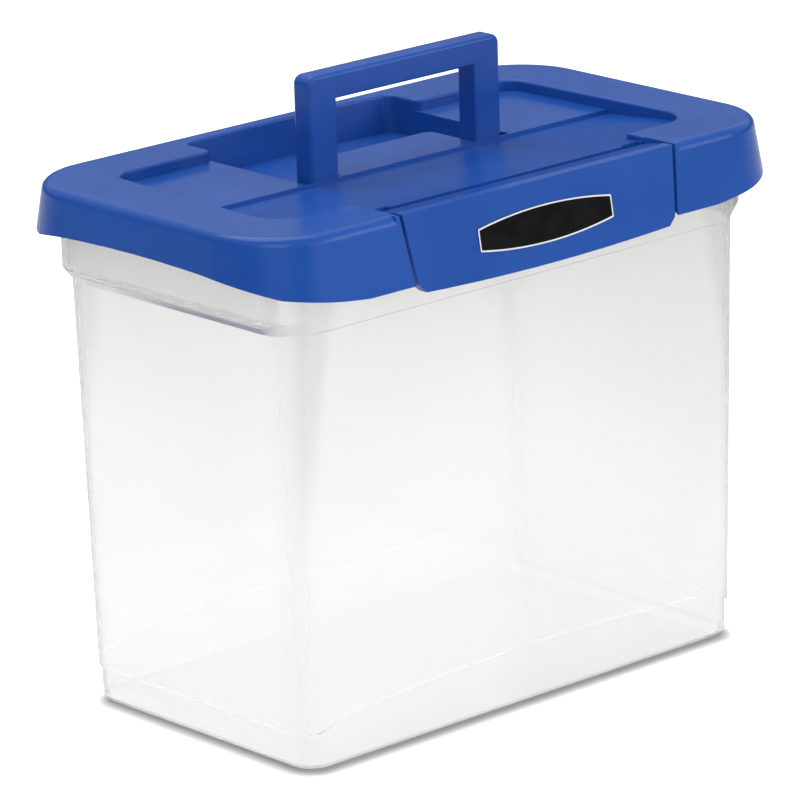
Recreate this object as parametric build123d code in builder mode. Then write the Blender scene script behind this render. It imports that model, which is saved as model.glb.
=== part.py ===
from build123d import *
import os
from math import cos, radians, sin, sqrt, tan

# Portable file box: a clear moulded tub with a blue hinged lid, a folding carry handle
# that drops into a well in the lid, and a flap latch with a bare name plate.
# Millimetres. X runs along the box, -Y is the latch side, +Z is up.
# The origin is the centre of the base. The hinge pins, rails and catch are moulded
# in one piece with the part that carries them.

# ---------------------------------------------------------------- lid, outer form
lid_top = 281.0            # flat rim of the closed lid
lid_length = 355.3         # at the rim, before its edge is rounded
lid_depth = 204.2
lid_corner = 43.0          # plan radius at the rim
skirt_flare = 9.5          # degrees that the skirt leans out
lid_wall = 2.5
edge_round = 5.0           # rounding of the rim's outer edge
skirt_front = 42.2         # skirt height at the middle of the front
smile_radius = 1130.0      # curve of the front lower edge
skirt_end = 20.6           # skirt height at the middle of an end
skirt_back = 20.8          # skirt height between the back corners
skirt_back_corner = 25.0   # and at the back corners
back_edge_half = 140.0     # the back edge turns down beyond this half length
back_edge_run = 16.0       # over this length
end_turn = 62.0            # seen from an end, the lower edge starts to fall this far
end_turn_drop = 0.7        # from the front or back face, having dropped this much;
end_fall = 31.0            # it falls faster from here
end_fall_drop = 3.1
end_foot = 12.0            # and passes here into the front curve
end_foot_drop = 7.6
end_tail = 10.0            # the cutting curve ends this far outside the rim
end_tail_drop = 17.4

# ---------------------------------------------------------------- lid, sunk top
rim_end = 36.95            # rim's outer edge to the sunk top, at the ends
rim_side = 35.1            # and in front and behind
recess_splay = 2.75        # the sunk top is this much shorter behind, longer in front
recess_corner_back = 11.0
recess_corner_front = 20.0
rear_round = 5.0           # plan radius where the well leaves the sunk top
platform_depth = 6.0       # shelf level below the rim
ridge_y = -5.2             # step across the lid, in front of the handle
step_height = 2.3          # the panel in front of the step is this much lower
panel_rise = 6.0           # the panel climbs this much towards the latch
panel_inset = 22.7         # rim's front edge to the panel, behind the latch
lip_round = 1.5            # rounding round the sunk top

# ---------------------------------------------------------------- handle
handle_half = 66.0         # half width over the legs
handle_top = 329.4
leg_width = 18.5
handle_thickness = 12.9
grip_height = 13.9
step_gap = 1.3             # step to the front of the legs
handle_sink = 2.0          # folded handle lies this far below the rim
handle_corner = 5.0
handle_round = 2.5
window_round = 1.2
handle_pin_drop = 9.5      # pivot below the rim
handle_pin_radius = 2.0
leg_gap = 1.0              # leg to the shelf between the legs
stop_gap = 0.3             # leg to the well's front wall, where it stands

# ---------------------------------------------------------------- handle well
well_margin = 5.1          # handle to the well's side
well_inset = 12.1          # rim's back edge to the well
well_bow = 1.8             # the back edge bows out by this much
well_depth = 20.0
well_draft = 9.0           # degrees, back wall
well_side_draft = 2.0
well_corner = 6.0
shelf_back = 31.0
shelf_corner = 5.0

# ---------------------------------------------------------------- latch
notch_half = 95.3          # half width of the opening in the lid, at the rim
notch_lean = 7.1           # degrees that each side leans in, going down
latch_gap = 2.1            # side gap between latch and lid
strip_depth = 19.8         # latch's top strip, from the rim's front edge
strip_flat = 5.6           # it slopes down behind its flat part
latch_fall = 2.7           # and falls this much to its back edge
latch_wall = 2.5
latch_flange = 2.0
latch_depth = 6.0          # the flanges reach this far behind the front face
latch_depth_top = 12.0     # and this far below the pins
flange_turn = 12.0         # they widen between here, below the rim, and the pins
latch_corner = 4.0         # clipped lower corners
latch_bow = 2.4            # the lower edge bows down by this much
latch_hinge_inset = 17.6   # rim's front edge to the pivot
latch_hinge_drop = 6.2     # pivot below the rim
latch_pin_radius = 2.0
latch_barrel_radius = 3.2
latch_barrel_length = 11.0
cheek_depth = 14.0         # cheeks beside the latch, below the rim
pocket_length = 12.5       # clearance pockets in the panel, behind the barrels
pocket_depth = 3.0
catch_half = 40.0          # catch on the inside of the latch
catch_height = 3.0
catch_gap = 0.4            # to the tub

# ---------------------------------------------------------------- name plate
badge_half = 46.0
badge_side = 11.6          # plate height at its two ends
badge_middle = 19.5        # and in the middle
badge_drop = 22.0          # centre below the rim
badge_thickness = 1.2
badge_proud = 0.5
badge_corner = 0.8
badge_border = 0.75
badge_sunk = 0.25          # the black field lies this far below its border
badge_fit = 0.1

# ---------------------------------------------------------------- tub
collar_gap_end = 11.65     # lid's rim to the collar, in length
collar_gap_side = 4.1      # lid's rim to the shoulder, in depth
collar_step_end = 8.22     # the collar stands out this far from the walls
collar_step_side = 0.81
shoulder_step = 8.5        # and the shoulder this far from the collar
tub_corner = 16.0
end_draft = 1.25           # degrees
side_draft = 0.35
tub_wall = 2.3
tub_floor = 2.6
base_round = 4.0
band_inset = 1.5           # the base band steps in
band_end = 19.5            # band height at the ends
band_side = 25.4           # band height near the corners of the long sides
band_middle = 31.3         # and in the middle of them
band_turn = 12.0           # the band climbs over this length, at the corners
collar_bottom = 228.0      # the ends step out here, round the folder rails
collar_corner = 21.0
collar_start = 7.5         # the collar's underside slopes over this height
collar_slope = 6.5         # and comes out this far
groove_bottom = 233.0      # groove behind each folder rail
groove_round = 5.0
rail_wall = 2.4
shoulder = 251.0           # the long sides step out here, under the lid
shoulder_corner = 34.0
rim_gap = 0.3              # rim to the lid's underside
rim_dip = 17.0             # the rim is this far below the lid's top in front and behind
dip_front = 112.0          # half length of the dip in front
dip_back = 125.0           # and behind
dip_round = 8.0

# ---------------------------------------------------------------- lid hinge
hinge_radius = 4.6
hinge_pin_radius = 2.5
hinge_drop = 17.0          # hinge axis below the rim
hinge_x = 95.0             # middle of each hinge
lug_width = 11.0
ear_width = 3.0
ear_gap = 0.5
lug_root = 11.0            # the lug's web starts this far below the hinge axis
lug_heel = 3.7             # and meets the lug this far below it
lug_mouth = 4.2            # opening of the snap-in lug
lug_mouth_turn = 35.0      # degrees that it leans back
ear_root = 6.0             # length of an ear's root under the rim
hinge_relief = 1.0         # skirt to the lug
pin_clearance = 0.05       # radial, on every pin

# ---------------------------------------------------------------- derived places
lean = tan(radians(skirt_flare))
platform_z = lid_top - platform_depth
recess_half = lid_length / 2 - rim_end
recess_side = lid_depth / 2 - rim_side
panel_front = lid_depth / 2 - panel_inset
well_z = lid_top - well_depth
well_back = lid_depth / 2 - well_inset
well_front = ridge_y + step_gap - stop_gap
handle_front = ridge_y + step_gap
handle_pin_z = lid_top - handle_pin_drop
handle_reach = handle_pin_drop - handle_sink
handle_pin_y = handle_front + handle_reach
well_half = handle_half + well_margin
shelf_half = handle_half - leg_width - leg_gap
latch_back = lid_depth / 2 - strip_depth
latch_flat = lid_depth / 2 - strip_flat
latch_hinge_y = latch_hinge_inset - lid_depth / 2
latch_pin_z = lid_top - latch_hinge_drop
front_reach = lid_depth / 2 + skirt_front * lean
hinge_y = front_reach - hinge_radius
hinge_z = lid_top - hinge_drop
collar_half = lid_length / 2 - collar_gap_end
shoulder_side = lid_depth / 2 - collar_gap_side
collar_side = shoulder_side - shoulder_step
base_half = collar_half - collar_step_end - collar_bottom * tan(radians(end_draft))
base_side = collar_side - collar_step_side - collar_bottom * tan(radians(side_draft))
rim_z = lid_top - lid_wall - rim_gap
far = 400.0                # reach of the cutting blocks
skirt_foot = lid_top - 2 * skirt_front  # the skirt is drawn down to here, then cut


# ---------------------------------------------------------------- shared outlines
def lid_plan(height, inset=0.0):
    """The lid's outline at one height, with the flare of its skirt."""
    grow = (lid_top - height) * lean - inset
    with BuildSketch(Plane.XY.offset(height)) as outline:
        RectangleRounded(lid_length + 2 * grow, lid_depth + 2 * grow, lid_corner + grow)
    return outline.sketch


def tub_plan(height, inset=0.0):
    """The tub wall's outline at one height, with its draft."""
    half_length = base_half + height * tan(radians(end_draft)) - inset
    half_depth = base_side + height * tan(radians(side_draft)) - inset
    with BuildSketch(Plane.XY.offset(height)) as outline:
        RectangleRounded(2 * half_length, 2 * half_depth, tub_corner - inset)
    return outline.sketch


def upper_plan(height, half_length, half_depth, corner, inset=0.0):
    """A collar or shoulder outline at one height."""
    with BuildSketch(Plane.XY.offset(height)) as outline:
        RectangleRounded(2 * (half_length - inset), 2 * (half_depth - inset), corner - inset)
    return outline.sketch


def front_y(height):
    """Y of the lid's front face at one height."""
    return -(lid_depth / 2 + (lid_top - height) * lean)


def panel_z(y):
    """Height of the sloping panel between the step and the latch."""
    run = (ridge_y - y) / (panel_front + ridge_y)
    return platform_z - step_height + panel_rise * run


def notch_edge(height):
    """Half width of the latch opening at one height."""
    return notch_half - (lid_top - height) * tan(radians(notch_lean))


# ---------------------------------------------------------------- tub
def tub_band_line():
    """Upper edge of the base band, seen from the front."""
    corner_x = base_half - tub_corner / 2
    with BuildSketch(Plane.XZ.offset(-far / 2)) as below_band:
        with BuildLine():
            ends = [(-far, band_end), (-corner_x, band_end)]
            rise = [(-corner_x + band_turn, band_side)]
            left = Polyline(ends + rise)
            right = Polyline([(-x, z) for x, z in ends + rise])
            ThreePointArc(left @ 1, (0, band_middle), right @ 1)
            Polyline([(-far, band_end), (-far, -far), (far, -far), (far, band_end)])
        make_face()
    return below_band.sketch


with BuildPart() as grooves:
    extrude(
        upper_plan(groove_bottom, collar_half, collar_side, collar_corner, tub_wall),
        amount=shoulder + tub_wall - groove_bottom,
    )
    fillet(grooves.faces().sort_by(Axis.Z)[0].edges(), groove_round)
    rail_x = base_half + groove_bottom * tan(radians(end_draft)) - tub_wall + rail_wall
    with BuildSketch(Plane.XY) as between_rails:
        Rectangle(2 * rail_x, far)
    extrude(amount=far, mode=Mode.SUBTRACT)

with BuildPart() as tub:
    loft([tub_plan(0), tub_plan(shoulder)])
    extrude(tub_band_line(), amount=far, mode=Mode.SUBTRACT)
    loft([tub_plan(0, band_inset), tub_plan(band_middle + band_inset, band_inset)])
    fillet(tub.faces().sort_by(Axis.Z)[0].edges(), base_round)
    # Collar round the folder rails: its underside slopes out at the ends.
    loft([
        upper_plan(collar_bottom, collar_half - collar_slope, collar_side, collar_corner),
        upper_plan(collar_bottom + collar_start, collar_half, collar_side, collar_corner),
    ])
    extrude(
        upper_plan(collar_bottom + collar_start, collar_half, collar_side, collar_corner),
        amount=rim_z - collar_bottom - collar_start,
    )
    extrude(
        upper_plan(shoulder, collar_half, shoulder_side, shoulder_corner),
        amount=rim_z - shoulder,
    )
    # Inside of the box, of the wider top and of the grooves behind the rails.
    loft([tub_plan(tub_floor, tub_wall), tub_plan(lid_top, tub_wall)], mode=Mode.SUBTRACT)
    extrude(
        upper_plan(shoulder + tub_wall, collar_half, shoulder_side, shoulder_corner, tub_wall),
        amount=far,
        mode=Mode.SUBTRACT,
    )
    add(grooves.part, mode=Mode.SUBTRACT)
    # Lowered rim in front, under the latch, and behind, under the handle well.
    for plane, half in (
        (Plane.XZ.offset(shoulder_side / 2), dip_front),
        (Plane.XZ.offset(-far - shoulder_side / 2), dip_back),
    ):
        with BuildSketch(plane) as dip:
            with Locations((0, lid_top - rim_dip)):
                Rectangle(2 * half, far, align=(Align.CENTER, Align.MIN))
            fillet(dip.vertices().group_by(Axis.Z)[0], dip_round)
        extrude(amount=far, mode=Mode.SUBTRACT)
    # Snap-in hinge lugs on the back.
    for side in (-1, 1):
        with BuildSketch(Plane.YZ.offset(side * hinge_x - lug_width / 2)) as lug:
            with Locations((hinge_y, hinge_z)):
                Circle(hinge_radius)
            with BuildLine():
                Polyline(
                    (shoulder_side - tub_wall / 2, hinge_z - lug_root),
                    (hinge_y - hinge_radius / 2, hinge_z - lug_heel),
                    (hinge_y, hinge_z),
                    (hinge_y - hinge_radius / 2, hinge_z),
                    (shoulder_side - tub_wall / 2, hinge_z),
                    close=True,
                )
            make_face()
            with Locations((hinge_y, hinge_z)):
                Circle(hinge_pin_radius + pin_clearance, mode=Mode.SUBTRACT)
                Rectangle(
                    lug_mouth,
                    far,
                    rotation=-lug_mouth_turn,
                    align=(Align.CENTER, Align.MIN),
                    mode=Mode.SUBTRACT,
                )
        extrude(amount=lug_width)
tub.part.label = "tub"


# ---------------------------------------------------------------- lid
def recess_outline(height, margin=0.0):
    """The sunk top's plan: a little longer in front than behind."""
    back, front = recess_half - recess_splay + margin, recess_half + recess_splay + margin
    side = recess_side + margin
    with BuildSketch(Plane.XY.offset(height)) as outline:
        with BuildLine():
            Polyline((-back, side), (back, side), (front, -side), (-front, -side), close=True)
        make_face()
        fillet(outline.vertices().group_by(Axis.Y)[-1], recess_corner_back + margin)
        fillet(outline.vertices().group_by(Axis.Y)[0], recess_corner_front + margin)
    return outline.sketch


def well_outline(height, margin=0.0):
    """The well's plan at one height; its back edge bows out."""
    drop = lid_top - height
    half = well_half - drop * tan(radians(well_side_draft)) + margin
    back = well_back - drop * tan(radians(well_draft)) + margin
    front = well_front - margin
    with BuildSketch(Plane.XY.offset(height)) as outline:
        with BuildLine():
            ThreePointArc((-half, back), (0, back + well_bow), (half, back))
            Polyline((half, back), (half, front), (-half, front), (-half, back))
        make_face()
        fillet(outline.vertices().group_by(Axis.Y)[-1], well_corner)
    return outline.sketch


def channel_outline(height, margin=0.0):
    """The panel's way out to the front, between the cheeks of the latch opening."""
    half = notch_edge(height) + margin
    with BuildSketch(Plane.XY.offset(height)) as outline:
        with Locations((0, -panel_front)):
            Rectangle(2 * half, panel_front, align=(Align.CENTER, Align.MIN))
    return outline.sketch


def panel_block(margin=0.0):
    """Everything above the top surface of the platform and the sloping panel."""
    with BuildPart() as block:
        with BuildSketch(Plane.YZ.offset(-far)) as profile:
            with BuildLine():
                Polyline(
                    (far, lid_top + lid_wall),
                    (far, platform_z - margin),
                    (ridge_y + margin, platform_z - margin),
                    (ridge_y + margin, panel_z(ridge_y) - margin),
                    (-panel_front, panel_z(-panel_front) - margin),
                    (-far, panel_z(-panel_front) - margin),
                    (-far, lid_top + lid_wall),
                    close=True,
                )
            make_face()
        extrude(amount=2 * far)
    return block.part


def latch_opening(margin=0.0):
    """The opening in the lid's front: narrower going down."""
    with BuildSketch(Plane.XZ) as outline:
        with BuildLine():
            high = 2 * lid_top - skirt_foot
            top, bottom = notch_edge(high) - margin, notch_edge(skirt_foot) - margin
            Polyline(
                (-bottom, skirt_foot), (bottom, skirt_foot), (top, high), (-top, high),
                close=True,
            )
        make_face()
    return outline.sketch


def shelf_outline(height, margin=0.0):
    """Plan of the shelf between the handle's legs."""
    with BuildSketch(Plane.XY.offset(height)) as outline:
        with Locations((0, well_front - 2 * lid_wall)):
            Rectangle(
                2 * (shelf_half + margin),
                shelf_back + margin - well_front + 2 * lid_wall,
                align=(Align.CENTER, Align.MIN),
            )
        fillet(outline.vertices().group_by(Axis.Y)[-1], shelf_corner + margin)
    return outline.sketch


with BuildPart() as tray:
    # Walls and floor of the sunk top, channel and well, before they are hollowed.
    extrude(recess_outline(lid_top, lid_wall), amount=-far)
    extrude(channel_outline(lid_top, lid_wall), amount=-far)
    add(panel_block(lid_wall), mode=Mode.INTERSECT)
    loft([well_outline(lid_top, lid_wall), well_outline(well_z - lid_wall, lid_wall)])

with BuildPart() as sunk:
    # The hollow of the sunk top, channel and well; the shelf stands in the well.
    loft([well_outline(platform_z), well_outline(well_z)])
    extrude(shelf_outline(0), amount=far, mode=Mode.SUBTRACT)
with BuildPart() as sunk_top:
    extrude(recess_outline(lid_top), amount=-far)
    extrude(channel_outline(lid_top), amount=-far)
    add(panel_block(), mode=Mode.INTERSECT)
    loft([well_outline(lid_top), well_outline(platform_z)])
    walls = sunk_top.edges().filter_by(lambda e: e.bounding_box().size.Z > platform_depth / 2)
    rear_corners = [(side * well_half, recess_side, lid_top) for side in (-1, 1)]
    fillet([walls.sort_by_distance(corner)[0] for corner in rear_corners], rear_round)

with BuildPart() as cheeks:
    # Walls beside the latch, which carry its pins.
    extrude(latch_opening(-lid_wall), amount=far)
    loft([lid_plan(lid_top), lid_plan(lid_top - cheek_depth)], mode=Mode.INTERSECT)
    with BuildSketch(Plane.XZ.offset(panel_front - lid_wall)):
        Rectangle(far, 2 * far)
    extrude(amount=-far, mode=Mode.SUBTRACT)

with BuildPart() as below_skirt:
    # What is cut away below the lid's lower edge: front curve, ends and back.
    low = lid_top - far
    with BuildSketch(Plane.XZ):
        with BuildLine():
            half = lid_length
            rise = smile_radius - sqrt(smile_radius**2 - half**2)
            front_z = lid_top - skirt_front
            ThreePointArc((-half, front_z + rise), (0, front_z), (half, front_z + rise))
            Polyline((-half, front_z + rise), (-half, low), (half, low), (half, front_z + rise))
        make_face()
    extrude(amount=far)
    with BuildSketch(Plane.XZ):
        with BuildLine():
            back_z, corner_z = lid_top - skirt_back, lid_top - skirt_back_corner
            turned = back_edge_half + back_edge_run
            Polyline(
                (-far, low), (-far, corner_z), (-turned, corner_z), (-back_edge_half, back_z),
                (back_edge_half, back_z), (turned, corner_z), (far, corner_z), (far, low),
                close=True,
            )
        make_face()
    extrude(amount=-far)
    with BuildSketch(Plane.YZ.offset(-far)):
        with BuildLine():
            half = lid_depth / 2
            end_z = lid_top - skirt_end
            curve = [
                (0, end_z),
                (half - end_turn, end_z - end_turn_drop),
                (half - end_fall, end_z - end_fall_drop),
                (half - end_foot, end_z - end_foot_drop),
                (half + end_tail, end_z - end_tail_drop),
            ]
            lower_edge = Spline([(-y, z) for y, z in reversed(curve[1:])] + curve)
            Polyline(lower_edge @ 0, (-half - end_tail, low), (half + end_tail, low), lower_edge @ 1)
        make_face()
    extrude(amount=2 * far)

with BuildPart() as lid:
    loft([lid_plan(lid_top), lid_plan(skirt_foot)])
    fillet(lid.faces().sort_by(Axis.Z)[-1].edges(), edge_round)
    loft(
        [
            lid_plan(lid_top - lid_wall, lid_wall / cos(radians(skirt_flare))),
            lid_plan(skirt_foot, lid_wall / cos(radians(skirt_flare))),
        ],
        mode=Mode.SUBTRACT,
    )
    add(below_skirt.part, mode=Mode.SUBTRACT)
    add(tray.part)
    add(cheeks.part)
    add(sunk_top.part, mode=Mode.SUBTRACT)
    top_face = lid.faces().filter_by(Axis.Z).group_by(Axis.Z)[-1][0]
    fillet(top_face.inner_wires()[0].edges(), lip_round)
    add(sunk.part, mode=Mode.SUBTRACT)
    # Under the shelf.
    extrude(
        shelf_outline(platform_z - lid_wall, -lid_wall), amount=-far, mode=Mode.SUBTRACT
    )
    # Opening for the latch, and clearance pockets behind its barrels.
    with BuildSketch(Plane.XZ.offset(panel_front)):
        add(latch_opening())
    extrude(amount=far, mode=Mode.SUBTRACT)
    barrel_end = notch_edge(latch_pin_z) - latch_gap
    with BuildSketch(Plane.XY.offset(lid_top)):
        for side in (-1, 1):
            with Locations((side * (barrel_end - latch_barrel_length / 2), -panel_front)):
                Rectangle(pocket_length, 2 * pocket_depth)
    extrude(amount=-cheek_depth, mode=Mode.SUBTRACT)
    # Ears, pins and relief of the lid hinge.
    for side in (-1, 1):
        middle = side * hinge_x
        reach = hinge_radius + hinge_relief
        ear_back = lid_depth / 2 - edge_round
        with BuildSketch(Plane.YZ.offset(middle - lug_width / 2 - ear_gap)):
            with Locations((hinge_y, hinge_z)):
                Circle(reach)
                with Locations((0, -far / 2)):
                    Rectangle(2 * reach, far)
        extrude(amount=lug_width + 2 * ear_gap, mode=Mode.SUBTRACT)
        for ear in (-1, 1):
            outer = middle + ear * (lug_width / 2 + ear_gap + ear_width / 2)
            with BuildSketch(Plane.YZ.offset(outer - ear_width / 2)):
                with Locations((hinge_y, hinge_z)):
                    Circle(hinge_radius)
                with BuildLine():
                    Polyline(
                        (hinge_y, hinge_z),
                        (hinge_y + hinge_radius, hinge_z),
                        (ear_back, lid_top - lid_wall / 2),
                        (ear_back - ear_root, lid_top - lid_wall / 2),
                        (hinge_y - hinge_radius, hinge_z),
                        close=True,
                    )
                make_face()
            extrude(amount=ear_width)
        with BuildSketch(Plane.YZ.offset(middle - lug_width / 2 - ear_gap)):
            with Locations((hinge_y, hinge_z)):
                Circle(hinge_pin_radius)
        extrude(amount=lug_width + 2 * ear_gap)
    # Bores for the pins of the handle, in the shelf's sides, and of the latch, in the cheeks.
    with BuildSketch(Plane.YZ.offset(-shelf_half - leg_gap / 2)):
        with Locations((handle_pin_y, handle_pin_z)):
            Circle(handle_pin_radius + pin_clearance)
    extrude(amount=2 * shelf_half + leg_gap, mode=Mode.SUBTRACT)
    bore_end = notch_edge(latch_pin_z) + 2 * lid_wall
    with BuildSketch(Plane.YZ.offset(-bore_end)):
        with Locations((latch_hinge_y, latch_pin_z)):
            Circle(latch_pin_radius + pin_clearance)
    extrude(amount=2 * bore_end, mode=Mode.SUBTRACT)
lid.part.label = "lid"


# ---------------------------------------------------------------- handle
window_half = handle_half - leg_width
window_top = handle_top - grip_height


def at_window(edge):
    """Whether an edge lies round the handle's window."""
    middle = edge.center()
    return abs(middle.X) < window_half + window_round and middle.Z < window_top + window_round


with BuildPart() as handle:
    with BuildSketch(Plane.XZ.offset(-handle_front)) as bow:
        with Locations((0, handle_top)):
            Rectangle(
                2 * handle_half,
                handle_top - handle_pin_z + handle_reach,
                align=(Align.CENTER, Align.MAX),
            )
        fillet(bow.vertices().group_by(Axis.Z)[-1], handle_corner)
        with Locations((0, window_top)):
            Rectangle(
                2 * window_half, handle_top, align=(Align.CENTER, Align.MAX), mode=Mode.SUBTRACT
            )
    extrude(amount=-handle_thickness)
    faces = handle.faces().sort_by(Axis.Y)
    edges = (faces[0].edges() + faces[-1].edges()).filter_by(lambda e: e.center().Z > handle_pin_z)
    fillet(edges.filter_by(at_window, reverse=True), handle_round)
    faces = handle.faces().sort_by(Axis.Y)
    fillet((faces[0].edges() + faces[-1].edges()).filter_by(at_window), window_round)
    # Rounded feet, which turn about the pins in front of the well's front wall.
    with BuildSketch(Plane.YZ.offset(-far)) as foot:
        with Locations((handle_pin_y, handle_pin_z)):
            Circle(handle_reach)
            Rectangle(2 * handle_reach, far, align=(Align.CENTER, Align.MIN))
    extrude(amount=2 * far, mode=Mode.INTERSECT)
    for side in (-1, 1):
        with BuildSketch(Plane.YZ.offset(side * window_half)):
            with Locations((handle_pin_y, handle_pin_z)):
                Circle(handle_pin_radius)
        extrude(amount=-side * (leg_gap + lid_wall))
handle.part.label = "handle"


# ---------------------------------------------------------------- latch
def latch_outline(inset=0.0):
    """The latch seen from the front, inside the lid's opening."""
    side_z = lid_top - skirt_front + latch_bow + inset
    low = notch_edge(side_z) - latch_gap - inset
    top = notch_edge(2 * lid_top - side_z) - latch_gap - inset
    with BuildSketch(Plane.XZ.offset(latch_hinge_y / 2)) as outline:
        with BuildLine():
            ThreePointArc((-low, side_z), (0, side_z - latch_bow), (low, side_z))
            high = 2 * lid_top - side_z
            Polyline((low, side_z), (top, high), (-top, high), (-low, side_z))
        make_face()
        chamfer(outline.vertices().group_by(Axis.Z)[0], latch_corner)
    return outline.sketch


def latch_side(wall=0.0):
    """The latch seen from its side: whole, or the hollow behind its face and strip."""
    low = lid_top - skirt_front - latch_bow
    slant = wall / cos(radians(skirt_flare))
    top, turn_z = lid_top - wall, lid_top - flange_turn
    with BuildSketch(Plane.YZ.offset(-far)) as outline:
        with BuildLine():
            if wall:
                Polyline(
                    (front_y(low) + slant, low),
                    (front_y(top) + slant, top),
                    (-latch_flat, top),
                    (-latch_back, top - latch_fall),
                    (0, top - 2 * latch_fall),
                    (0, low),
                    close=True,
                )
            else:
                Polyline(
                    (front_y(low), low),
                    (front_y(top), top),
                    (-latch_flat, top),
                    (-latch_back, top - latch_fall),
                    (-latch_back, latch_pin_z - latch_barrel_radius),
                    (front_y(latch_pin_z) + latch_depth_top, latch_pin_z - latch_barrel_radius),
                    (front_y(turn_z) + latch_depth, turn_z),
                    (front_y(low) + latch_depth, low),
                    close=True,
                )
        make_face()
        if not wall:
            rim_corner = outline.vertices().sort_by_distance((0, front_y(lid_top), lid_top))[0]
            fillet(rim_corner, edge_round)
    return outline.sketch


badge_z = lid_top - badge_drop
badge_face = Plane(
    origin=(0, front_y(badge_z), badge_z),
    x_dir=(1, 0, 0),
    z_dir=(0, -cos(radians(skirt_flare)), sin(radians(skirt_flare))),
)


def badge_outline(height, margin=0.0):
    """The name plate's outline, at a height above the latch's face."""
    half, side, middle = badge_half + margin, badge_side / 2 + margin, badge_middle / 2 + margin
    with BuildSketch(badge_face.offset(height)) as outline:
        with BuildLine():
            ThreePointArc((-half, side), (0, middle), (half, side))
            Line((half, side), (half, -side))
            ThreePointArc((half, -side), (0, -middle), (-half, -side))
            Line((-half, -side), (-half, side))
        make_face()
        if badge_corner + margin > 0:
            fillet(outline.vertices(), badge_corner + margin)
    return outline.sketch


with BuildPart() as latch_hollow:
    extrude(latch_outline(latch_flange), amount=far)
    extrude(latch_side(latch_wall), amount=2 * far, mode=Mode.INTERSECT)

with BuildPart() as latch:
    extrude(latch_outline(), amount=far)
    extrude(latch_side(), amount=2 * far, mode=Mode.INTERSECT)
    add(latch_hollow.part, mode=Mode.SUBTRACT)
    # Barrels and pins.
    for side in (-1, 1):
        with BuildSketch(Plane.YZ.offset(side * barrel_end)):
            with Locations((latch_hinge_y, latch_pin_z)):
                Circle(latch_barrel_radius)
        extrude(amount=-side * latch_barrel_length)
        with BuildSketch(Plane.YZ.offset(side * barrel_end)):
            with Locations((latch_hinge_y, latch_pin_z)):
                Circle(latch_pin_radius)
        extrude(amount=side * (latch_gap + lid_wall))
    # Catch, under the tub's shoulder, with gussets.
    catch_top = shoulder - catch_gap
    catch_low = catch_top - catch_height
    tip = -(shoulder_side + catch_gap)
    with BuildSketch(Plane.YZ.offset(-catch_half)):
        with BuildLine():
            Polyline(
                (tip, catch_top),
                (tip, catch_low),
                (front_y(catch_low) + latch_wall / 2, catch_low - catch_height / 2),
                (front_y(catch_top) + latch_wall / 2, catch_top),
                close=True,
            )
        make_face()
    extrude(amount=2 * catch_half)
    # Seat of the name plate.
    seat = badge_thickness - badge_proud
    extrude(badge_outline(-seat, badge_fit), amount=seat + badge_proud, mode=Mode.SUBTRACT)
latch.part.label = "latch"


# ---------------------------------------------------------------- name plate
with BuildPart() as badge:
    extrude(badge_outline(-seat), amount=badge_thickness)
    field = badge_outline(badge_proud - badge_sunk, -badge_border)
    extrude(field, amount=badge_thickness, mode=Mode.SUBTRACT)
badge.part.label = "badge"


# ---------------------------------------------------------------- files
os.makedirs("parts", exist_ok=True)
export_step(tub.part, "parts/tub.step")
export_step(lid.part, "parts/lid.step")
export_step(handle.part, "parts/handle.step")
export_step(latch.part, "parts/latch.step")
export_step(badge.part, "parts/badge.step")
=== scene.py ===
from math import cos, radians, sin, tan

import bpy
from mathutils import Matrix, Vector


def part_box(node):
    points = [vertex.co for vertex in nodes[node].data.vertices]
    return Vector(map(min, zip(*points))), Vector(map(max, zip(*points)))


# Looks of the portable file box: nearly clear moulded tub, blue moulded lid, handle and latch,
# bare black name plate with a bright border. Metres, in the frame of the CAD.

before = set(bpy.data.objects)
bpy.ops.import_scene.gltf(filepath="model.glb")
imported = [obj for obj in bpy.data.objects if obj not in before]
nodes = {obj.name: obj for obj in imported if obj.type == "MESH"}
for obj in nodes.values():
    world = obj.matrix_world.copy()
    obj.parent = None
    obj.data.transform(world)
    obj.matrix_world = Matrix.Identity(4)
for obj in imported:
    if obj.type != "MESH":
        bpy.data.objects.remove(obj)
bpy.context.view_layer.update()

# ---------------------------------------------------------------- shared values
BASE_HALF = Vector((0.1528, 0.0873))   # half size and corner radius of the tub's base
BASE_CORNER = 0.016
SHADOW_START = -0.006         # painted shadow: the floor grows white from here, by distance from the base,
SHADOW_WIDTH = 0.008          # and is plain white from here on
SHADOW_SHIFT = 0.005          # the painted shadow lies this far towards the camera
SHADOW_SHADE = 0.42           # the floor's lightness as the camera sees it, lower than as it lights the box, which deepens the shadow
BACKDROP_GLOW = 0.34          # of the backdrop as the gloss of the box sees it
CAMERA_AZIMUTH = -0.72880     # radians, from looking along +Y
CAMERA_ELEVATION = 0.29118
CAMERA_ROLL = -0.02964
CAMERA_DISTANCE = 3.434996
CAMERA_TARGET = Vector((0.265076, 0.304929, 0.023929))
FOCAL_LENGTH = 260.751
SENSOR_WIDTH = 36.0
LID_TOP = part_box("lid")[1].z
SKIRT_LEAN = radians(9.5)     # of the lid's skirt, and of the latch and its plate with it
PLATE_FRONT = 0.1021          # the skirt's distance from the middle at the lid's top
BORDER_STEP = (0.00032, 0.00040)   # the plate's border stands between these above its seat

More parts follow.
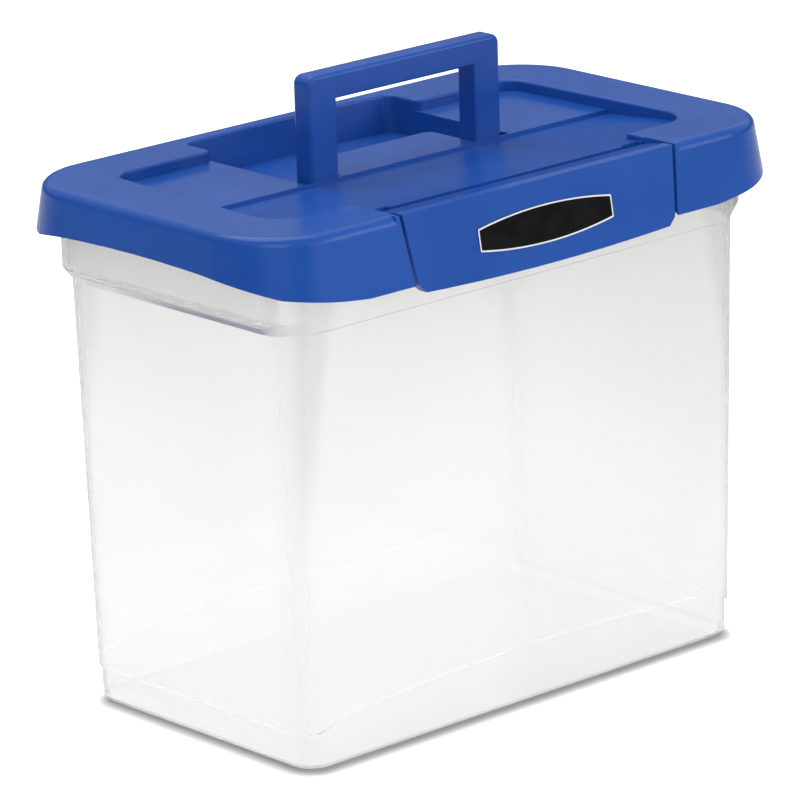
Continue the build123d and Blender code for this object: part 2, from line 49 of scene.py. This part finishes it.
# Soft steps of the tub's looks: start and end along X or Y from the middle, or in height.
UPPER_Z = (0.12, 0.25)        # painted shade: greyer towards the top, below the lid,
UPPER_X = (0.150, 0.160)      # but hardly at the ends
STREAK_SLANT = 0.17           # the painted corner streak's inner edge leans by this much
STREAK_INNER = (0.164, 0.176)
STREAK_OUTER = (0.1475, 0.1535)
STREAK_Y = (0.074, 0.080)
STREAK_Z = (0.03, 0.2)
RIGHT_X = (0.02, 0.15)        # painted shade: greyer towards the right end, above the base
RIGHT_Z = (0.05, 0.16)
BELOW_LID_Z = (0.205, 0.235)  # a little duller below the lid
CORNER_X = (0.138, 0.150)
CORNER_Y = (0.068, 0.080)
COLLAR_X = (0.158, 0.163)
COLLAR_Z = (0.214, 0.222)
FOOT_Z = (0.003, 0.030)       # less light passes the thick foot

# Amounts of the tub's looks.
TUB_CLEAR = 0.985             # how much of the light one wall lets through, before the losses
# Painted shade: the losses towards the top, in the corner streak and towards the right end.
UPPER_LOSS = 0.075
UPPER_LEFT_AT_ENDS = 0.1      # this share of it stays at the ends
STREAK_LOSS = (0.03, 0.11)    # painted shade at the streak's foot and at its top
RIGHT_LOSS = 0.06
CLOUD_LOSS = 0.02
TUB_TINT = (1.0, 0.998, 0.992)
TUB_ROUGH = (0.05, 0.09)
BELOW_LID_BLUR = 0.07
CORNER_BLUR = 0.22
COLLAR_SHARE = 0.5            # the collar blurs by this share of it
HAZE_SHARE = 0.09             # a little of the wall is milky
HAZE_COLOUR = (0.96, 0.955, 0.945, 1)
LAMP_LIGHT = (0.40, 0.92)     # share of the lamps' light that passes, at the foot and above


# ---------------------------------------------------------------- node helpers
class Tree:
    """A material's node tree with short ways to add and join nodes."""

    def __init__(self, name):
        self.material = bpy.data.materials.new(name)
        self.material.use_nodes = True
        self.tree = self.material.node_tree
        self.tree.nodes.clear()
        self.output = self.add("ShaderNodeOutputMaterial")
        self.place = self.add("ShaderNodeTexCoord").outputs["Object"]

    def add(self, kind, **settings):
        node = self.tree.nodes.new(kind)
        for key, value in settings.items():
            setattr(node, key, value)
        return node

    def join(self, source, target):
        self.tree.links.new(source, target)

    def value(self, operation, *inputs):
        node = self.add("ShaderNodeMath", operation=operation)
        for index, item in enumerate(inputs):
            if isinstance(item, (int, float)):
                node.inputs[index].default_value = item
            else:
                self.join(item, node.inputs[index])
        return node.outputs[0]

    def noise(self, scale, detail=3.0, roughness=0.5):
        node = self.add("ShaderNodeTexNoise")
        node.inputs["Scale"].default_value = scale
        node.inputs["Detail"].default_value = detail
        node.inputs["Roughness"].default_value = roughness
        self.join(self.place, node.inputs["Vector"])
        return node.outputs["Fac"]

    def step(self, source, start, end, low, high, **settings):
        node = self.add("ShaderNodeMapRange", **settings)
        self.join(source, node.inputs["Value"])
        node.inputs["From Min"].default_value = start
        node.inputs["From Max"].default_value = end
        node.inputs["To Min"].default_value = low
        node.inputs["To Max"].default_value = high
        return node.outputs[0]

    def span(self, source, low, high, start=0.3, end=0.7):
        """An even step from low to high; a noise runs mostly between 0.3 and 0.7."""
        return self.step(source, start, end, low, high)

    def axes(self):
        """Separate X, Y and Z of the object's place."""
        node = self.add("ShaderNodeSeparateXYZ")
        self.join(self.place, node.inputs[0])
        return node.outputs

    def smooth(self, source, start, end, low=0.0, high=1.0):
        """A soft step from low to high between two values of the source."""
        return self.step(source, start, end, low, high, interpolation_type="SMOOTHSTEP")

    def blend(self, factor, first, second):
        node = self.add("ShaderNodeMix", data_type="RGBA")
        self.join(factor, node.inputs["Factor"])
        for socket, colour in ((node.inputs[6], first), (node.inputs[7], second)):
            if isinstance(colour, tuple):
                socket.default_value = colour
            else:
                self.join(colour, socket)
        return node.outputs[2]

    def bump(self, height, distance, strength=1.0, normal=None):
        node = self.add("ShaderNodeBump")
        node.inputs["Strength"].default_value = strength
        node.inputs["Distance"].default_value = distance
        self.join(height, node.inputs["Height"])
        if normal is not None:
            self.join(normal, node.inputs["Normal"])
        return node.outputs[0]


def linear(red, green, blue):
    """A colour written in display values 0 to 255, as the shader's linear values."""
    def one(value):
        share = value / 255
        return share / 12.92 if share <= 0.04045 else ((share + 0.055) / 1.055) ** 2.4
    return (one(red), one(green), one(blue), 1.0)


# ---------------------------------------------------------------- materials
def moulded_blue():
    """Satin moulded polypropylene: even blue with a fine grain and a slow change in gloss."""
    t = Tree("moulded_blue")
    shader = t.add("ShaderNodeBsdfPrincipled")
    cloud = t.noise(14.0, detail=2.0)
    grain = t.noise(2600.0, detail=2.0, roughness=0.6)
    colour = t.blend(t.span(cloud, 0.0, 1.0), linear(25, 71, 151), linear(29, 77, 159))
    t.join(colour, shader.inputs["Base Color"])
    rough = t.value("ADD", t.span(cloud, 0.22, 0.27), t.span(grain, -0.03, 0.03))
    t.join(rough, shader.inputs["Roughness"])
    shader.inputs["IOR"].default_value = 1.49
    shader.inputs["Specular IOR Level"].default_value = 0.22
    wave = t.bump(t.noise(9.0, detail=1.0), 0.0012, strength=0.25)
    normal = t.bump(grain, 0.00003, strength=0.6, normal=wave)
    t.join(normal, shader.inputs["Normal"])
    t.join(shader.outputs[0], t.output.inputs["Surface"])
    return t.material


def clear_tub():
    """Nearly clear moulded polypropylene, slightly milky, with painted shade: greyer towards
    the top, in a streak by the upright corners and towards the right end.
    """
    t = Tree("clear_tub")
    shader = t.add("ShaderNodeBsdfPrincipled")
    shader.inputs["Transmission Weight"].default_value = 1.0
    shader.inputs["IOR"].default_value = 1.45
    cloud = t.noise(7.0, detail=2.0)
    x, y, z = t.axes()
    wide, deep = t.value("ABSOLUTE", x), t.value("ABSOLUTE", y)
    # Painted shade: the wall is greyer towards the top, where the lid shades it, and in a
    # streak by its upright corners.
    painted_top_shade = t.smooth(z, *UPPER_Z, 0.0, UPPER_LOSS)
    painted_top_shade = t.value("MULTIPLY", painted_top_shade, t.smooth(wide, *UPPER_X, 1.0, UPPER_LEFT_AT_ENDS))
    # The painted streak of shade lies on the long sides and narrows going down.
    slanted = t.value("ADD", wide, t.value("MULTIPLY", z, STREAK_SLANT))
    inner = t.smooth(slanted, *STREAK_INNER)
    outer = t.smooth(wide, *STREAK_OUTER, 1.0, 0.0)
    near_side = t.smooth(deep, *STREAK_Y)
    painted_corner_streak = t.value("MULTIPLY", t.value("MULTIPLY", inner, outer), near_side)
    painted_corner_streak = t.value("MULTIPLY", painted_corner_streak, t.smooth(z, *STREAK_Z, *STREAK_LOSS))
    # Painted shade: greyer towards the right end.
    painted_right_shade = t.smooth(x, *RIGHT_X, 0.0, RIGHT_LOSS)
    painted_right_shade = t.value("MULTIPLY", painted_right_shade, t.smooth(z, *RIGHT_Z))
    loss = t.value("ADD", t.value("ADD", painted_top_shade, painted_corner_streak), t.span(cloud, 0.0, CLOUD_LOSS))
    loss = t.value("ADD", loss, painted_right_shade)
    clear = t.value("SUBTRACT", TUB_CLEAR, loss)
    tint = t.add("ShaderNodeCombineColor")
    for socket, share in zip(tint.inputs, TUB_TINT):
        t.join(t.value("MULTIPLY", clear, share), socket)
    t.join(tint.outputs[0], shader.inputs["Base Color"])
    below_lid = t.smooth(z, *BELOW_LID_Z, 0.0, BELOW_LID_BLUR)
    rough = t.value("ADD", t.span(cloud, *TUB_ROUGH), below_lid)
    # The rounded corners and the collar blur what stands behind them.
    at_corner = t.value("MULTIPLY", t.smooth(wide, *CORNER_X), t.smooth(deep, *CORNER_Y))
    collar_height = t.smooth(z, *COLLAR_Z, 0.0, COLLAR_SHARE)
    at_collar = t.value("MULTIPLY", t.smooth(wide, *COLLAR_X), collar_height)
    blurred = t.value("MULTIPLY", t.value("MAXIMUM", at_corner, at_collar), CORNER_BLUR)
    rough = t.value("ADD", rough, blurred)
    t.join(rough, shader.inputs["Roughness"])
    milk = t.add("ShaderNodeBsdfTranslucent")
    white = t.add("ShaderNodeBsdfDiffuse")
    for scatter in (milk, white):
        scatter.inputs["Color"].default_value = HAZE_COLOUR
    haze = t.add("ShaderNodeMixShader")
    t.join(milk.outputs[0], haze.inputs[1])
    t.join(white.outputs[0], haze.inputs[2])
    body = t.add("ShaderNodeMixShader")
    body.inputs[0].default_value = HAZE_SHARE
    t.join(shader.outputs[0], body.inputs[1])
    t.join(haze.outputs[0], body.inputs[2])
    # Lamps shine through the clear wall.
    lamp_light = t.add("ShaderNodeBsdfTransparent")
    passed = t.smooth(z, *FOOT_Z, *LAMP_LIGHT)
    light_tint = t.add("ShaderNodeCombineColor")
    for socket in light_tint.inputs:
        t.join(passed, socket)
    t.join(light_tint.outputs[0], lamp_light.inputs["Color"])
    path = t.add("ShaderNodeLightPath")
    final = t.add("ShaderNodeMixShader")
    t.join(path.outputs["Is Shadow Ray"], final.inputs[0])
    t.join(body.outputs[0], final.inputs[1])
    t.join(lamp_light.outputs[0], final.inputs[2])
    t.join(final.outputs[0], t.output.inputs["Surface"])
    return t.material


def name_plate():
    """Gloss black field below a bright border; the border is what stands highest."""
    t = Tree("name_plate")
    low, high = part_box("badge")
    middle_z = (low.z + high.z) / 2
    face_y = -(PLATE_FRONT + (LID_TOP - middle_z) * tan(SKIRT_LEAN))
    outward = (0.0, -cos(SKIRT_LEAN), sin(SKIRT_LEAN))
    offset = t.add("ShaderNodeVectorMath", operation="SUBTRACT")
    t.join(t.place, offset.inputs[0])
    offset.inputs[1].default_value = (0.0, face_y, middle_z)
    along = t.add("ShaderNodeVectorMath", operation="DOT_PRODUCT")
    t.join(offset.outputs[0], along.inputs[0])
    along.inputs[1].default_value = outward
    border = t.span(along.outputs["Value"], 0.0, 1.0, *BORDER_STEP)
    smudge = t.noise(120.0)
    shader = t.add("ShaderNodeBsdfPrincipled")
    field = t.blend(t.span(smudge, 0.0, 1.0), linear(10, 10, 12), linear(15, 15, 17))
    t.join(t.blend(border, field, linear(236, 237, 240)), shader.inputs["Base Color"])
    t.join(t.span(border, 0.0, 0.25, 0.0, 1.0), shader.inputs["Metallic"])
    t.join(t.span(smudge, 0.12, 0.2), shader.inputs["Roughness"])
    shader.inputs["Specular IOR Level"].default_value = 0.15
    t.join(shader.outputs[0], t.output.inputs["Surface"])
    return t.material


def studio_floor():
    """White floor with painted shadow: a glow growing with the distance from the base, shifted
    towards the camera, sets where the box's lit shadow shows, close to the base; plain white
    beyond.
    """
    t = Tree("studio_floor")
    shader = t.add("ShaderNodeBsdfDiffuse")
    cloud = t.noise(3.0)
    t.join(
        t.blend(t.span(cloud, 0.0, 1.0), (0.86, 0.86, 0.86, 1), (0.87, 0.87, 0.87, 1)),
        shader.inputs["Color"],
    )
    # Distance from the outline of the base, moved a little towards the camera: the mask of the
    # painted shadow.
    x, y, z = t.axes()
    outside = []
    sides = ((x, BASE_HALF.x, sin(CAMERA_AZIMUTH)), (y, BASE_HALF.y, -cos(CAMERA_AZIMUTH)))
    for axis, half, lean in sides:
        offset = t.value("SUBTRACT", axis, lean * SHADOW_SHIFT)
        past = t.value("SUBTRACT", t.value("ABSOLUTE", offset), half - BASE_CORNER)
        past = t.value("MAXIMUM", past, 0.0)
        outside.append(t.value("MULTIPLY", past, past))
    distance = t.value("SUBTRACT", t.value("SQRT", t.value("ADD", *outside)), BASE_CORNER)
    glow = t.add("ShaderNodeEmission")
    t.join(t.smooth(distance, SHADOW_START, SHADOW_WIDTH), glow.inputs["Strength"])
    shade = t.add("ShaderNodeBsdfDiffuse")
    shade.inputs["Color"].default_value = (SHADOW_SHADE, SHADOW_SHADE, SHADOW_SHADE, 1)
    lit = t.add("ShaderNodeAddShader")
    t.join(shade.outputs[0], lit.inputs[0])
    t.join(glow.outputs[0], lit.inputs[1])
    white = t.add("ShaderNodeEmission")
    path = t.add("ShaderNodeLightPath")
    seen = t.add("ShaderNodeMixShader")
    t.join(path.outputs["Is Camera Ray"], seen.inputs[0])
    t.join(shader.outputs[0], seen.inputs[1])
    t.join(lit.outputs[0], seen.inputs[2])
    through = t.add("ShaderNodeMixShader")
    t.join(path.outputs["Is Transmission Ray"], through.inputs[0])
    t.join(seen.outputs[0], through.inputs[1])
    t.join(white.outputs[0], through.inputs[2])
    t.join(through.outputs[0], t.output.inputs["Surface"])
    return t.material


def studio_backdrop():
    """White backdrop: seen in reflections and through the tub, it gives almost no light."""
    t = Tree("studio_backdrop")
    shader = t.add("ShaderNodeBsdfDiffuse")
    cloud = t.noise(3.0)
    t.join(
        t.blend(t.span(cloud, 0.0, 1.0), (0.60, 0.60, 0.60, 1), (0.62, 0.62, 0.62, 1)),
        shader.inputs["Color"],
    )
    glow = t.add("ShaderNodeEmission")
    path = t.add("ShaderNodeLightPath")
    seen = t.value("MAXIMUM", path.outputs["Is Camera Ray"], path.outputs["Is Glossy Ray"])
    t.join(t.value("MULTIPLY", seen, BACKDROP_GLOW), glow.inputs["Strength"])
    both = t.add("ShaderNodeAddShader")
    t.join(shader.outputs[0], both.inputs[0])
    t.join(glow.outputs[0], both.inputs[1])
    t.join(both.outputs[0], t.output.inputs["Surface"])
    return t.material


def dress(node, material):
    for material_slot in nodes[node].material_slots:
        material_slot.material = material


blue = moulded_blue()
for blue_node in ("lid", "handle", "latch"):
    dress(blue_node, blue)
dress("tub", clear_tub())
dress("badge", name_plate())


# ---------------------------------------------------------------- floor and backdrop
FLOOR_HALF = 12.0
# The backdrop hangs well behind the box, where the lid's flat rim mirrors it.
BACKDROP_AWAY = 3.2
BACKDROP_HALF = 3.5
BACKDROP_FOOT = 1.25
BACKDROP_TOP = 2.4


def flat_sheet(name, corners, material):
    mesh = bpy.data.meshes.new(name)
    mesh.from_pydata(corners, [], [(0, 1, 2, 3)])
    mesh.materials.append(material)
    sheet = bpy.data.objects.new(name, mesh)
    bpy.context.scene.collection.objects.link(sheet)
    return sheet


floor = flat_sheet(
    "floor",
    [(-FLOOR_HALF, -FLOOR_HALF, 0), (FLOOR_HALF, -FLOOR_HALF, 0),
     (FLOOR_HALF, FLOOR_HALF, 0), (-FLOOR_HALF, FLOOR_HALF, 0)],
    studio_floor(),
)

behind = Vector((-sin(CAMERA_AZIMUTH), cos(CAMERA_AZIMUTH), 0.0))
across = Vector((cos(CAMERA_AZIMUTH), sin(CAMERA_AZIMUTH), 0.0))
low_left = behind * BACKDROP_AWAY - across * BACKDROP_HALF
low_right = behind * BACKDROP_AWAY + across * BACKDROP_HALF
foot = Vector((0.0, 0.0, BACKDROP_FOOT))
rise = Vector((0.0, 0.0, BACKDROP_TOP))
backdrop = flat_sheet(
    "backdrop",
    [low_left + foot, low_right + foot, low_right + rise, low_left + rise],
    studio_backdrop(),
)


# ---------------------------------------------------------------- light
def soft_lamp(name, place, target, width, height, power):
    lamp = bpy.data.lights.new(name, "AREA")
    lamp.shape = "RECTANGLE"
    lamp.size, lamp.size_y = width, height
    lamp.energy = power
    holder = bpy.data.objects.new(name, lamp)
    holder.location = place
    away = Vector(place) - Vector(target)
    holder.rotation_euler = away.to_track_quat("Z", "Y").to_euler()
    bpy.context.scene.collection.objects.link(holder)


CENTRE = (0.0, 0.0, 0.15)
soft_lamp("overhead", (0.0, 0.7, 2.4), CENTRE, 2.0, 2.0, 38.0)
soft_lamp("front_left", (-1.9, -1.6, 1.3), CENTRE, 1.4, 1.4, 19.0)
soft_lamp("front_right", (1.6, -2.2, 1.2), CENTRE, 1.4, 1.4, 22.0)
soft_lamp("front_low", (0.3, -2.5, 0.9), CENTRE, 1.2, 1.2, 8.0)


WORLD_LOW = 0.06              # light of the surroundings near the horizon
WORLD_HIGH = 0.64             # and from above
SKY_RISE = (0.15, 0.45)       # it grows between these heights of the direction


def studio_world():
    """Plain white to the camera and through the tub; a soft sky as light and in reflections."""
    world = bpy.data.worlds.new("studio")
    bpy.context.scene.world = world
    world.use_nodes = True
    graph, links = world.node_tree.nodes, world.node_tree.links
    graph.clear()
    output = graph.new("ShaderNodeOutputWorld")
    sky = graph.new("ShaderNodeBackground")
    links.new(sky.outputs[0], output.inputs["Surface"])
    rays = graph.new("ShaderNodeLightPath")
    seen = graph.new("ShaderNodeMath")
    seen.operation = "MAXIMUM"
    links.new(rays.outputs["Is Camera Ray"], seen.inputs[0])
    links.new(rays.outputs["Is Transmission Ray"], seen.inputs[1])
    strength = graph.new("ShaderNodeMapRange")
    links.new(seen.outputs[0], strength.inputs["Value"])
    direction = graph.new("ShaderNodeTexCoord")
    parts = graph.new("ShaderNodeSeparateXYZ")
    links.new(direction.outputs["Generated"], parts.inputs[0])
    level = graph.new("ShaderNodeMapRange")
    links.new(parts.outputs["Z"], level.inputs["Value"])
    level.inputs["From Min"].default_value, level.inputs["From Max"].default_value = SKY_RISE
    level.inputs["To Min"].default_value = WORLD_LOW
    level.inputs["To Max"].default_value = WORLD_HIGH
    links.new(level.outputs[0], strength.inputs["To Min"])
    strength.inputs["To Max"].default_value = 1.0
    links.new(strength.outputs[0], sky.inputs["Strength"])
    sky.inputs["Color"].default_value = (1.0, 1.0, 1.0, 1.0)


studio_world()


# ---------------------------------------------------------------- camera
camera_data = bpy.data.cameras.new("camera")
camera_data.lens = FOCAL_LENGTH
camera_data.sensor_width = SENSOR_WIDTH
camera_data.clip_end = 60.0
camera = bpy.data.objects.new("camera", camera_data)
bpy.context.scene.collection.objects.link(camera)
sa, ca = sin(CAMERA_AZIMUTH), cos(CAMERA_AZIMUTH)
se, ce = sin(CAMERA_ELEVATION), cos(CAMERA_ELEVATION)
back = Vector((sa * ce, -ca * ce, se))
right = Vector((ca, sa, 0.0))
up = back.cross(right)
cr, sr = cos(CAMERA_ROLL), sin(CAMERA_ROLL)
rolled_right = right * cr + up * sr
rolled_up = up * cr - right * sr
turn = Matrix((rolled_right, rolled_up, back)).transposed()
camera.matrix_world = Matrix.Translation(CAMERA_TARGET + back * CAMERA_DISTANCE) @ turn.to_4x4()
bpy.context.scene.camera = camera
bpy.context.scene.view_settings.view_transform = "Standard"
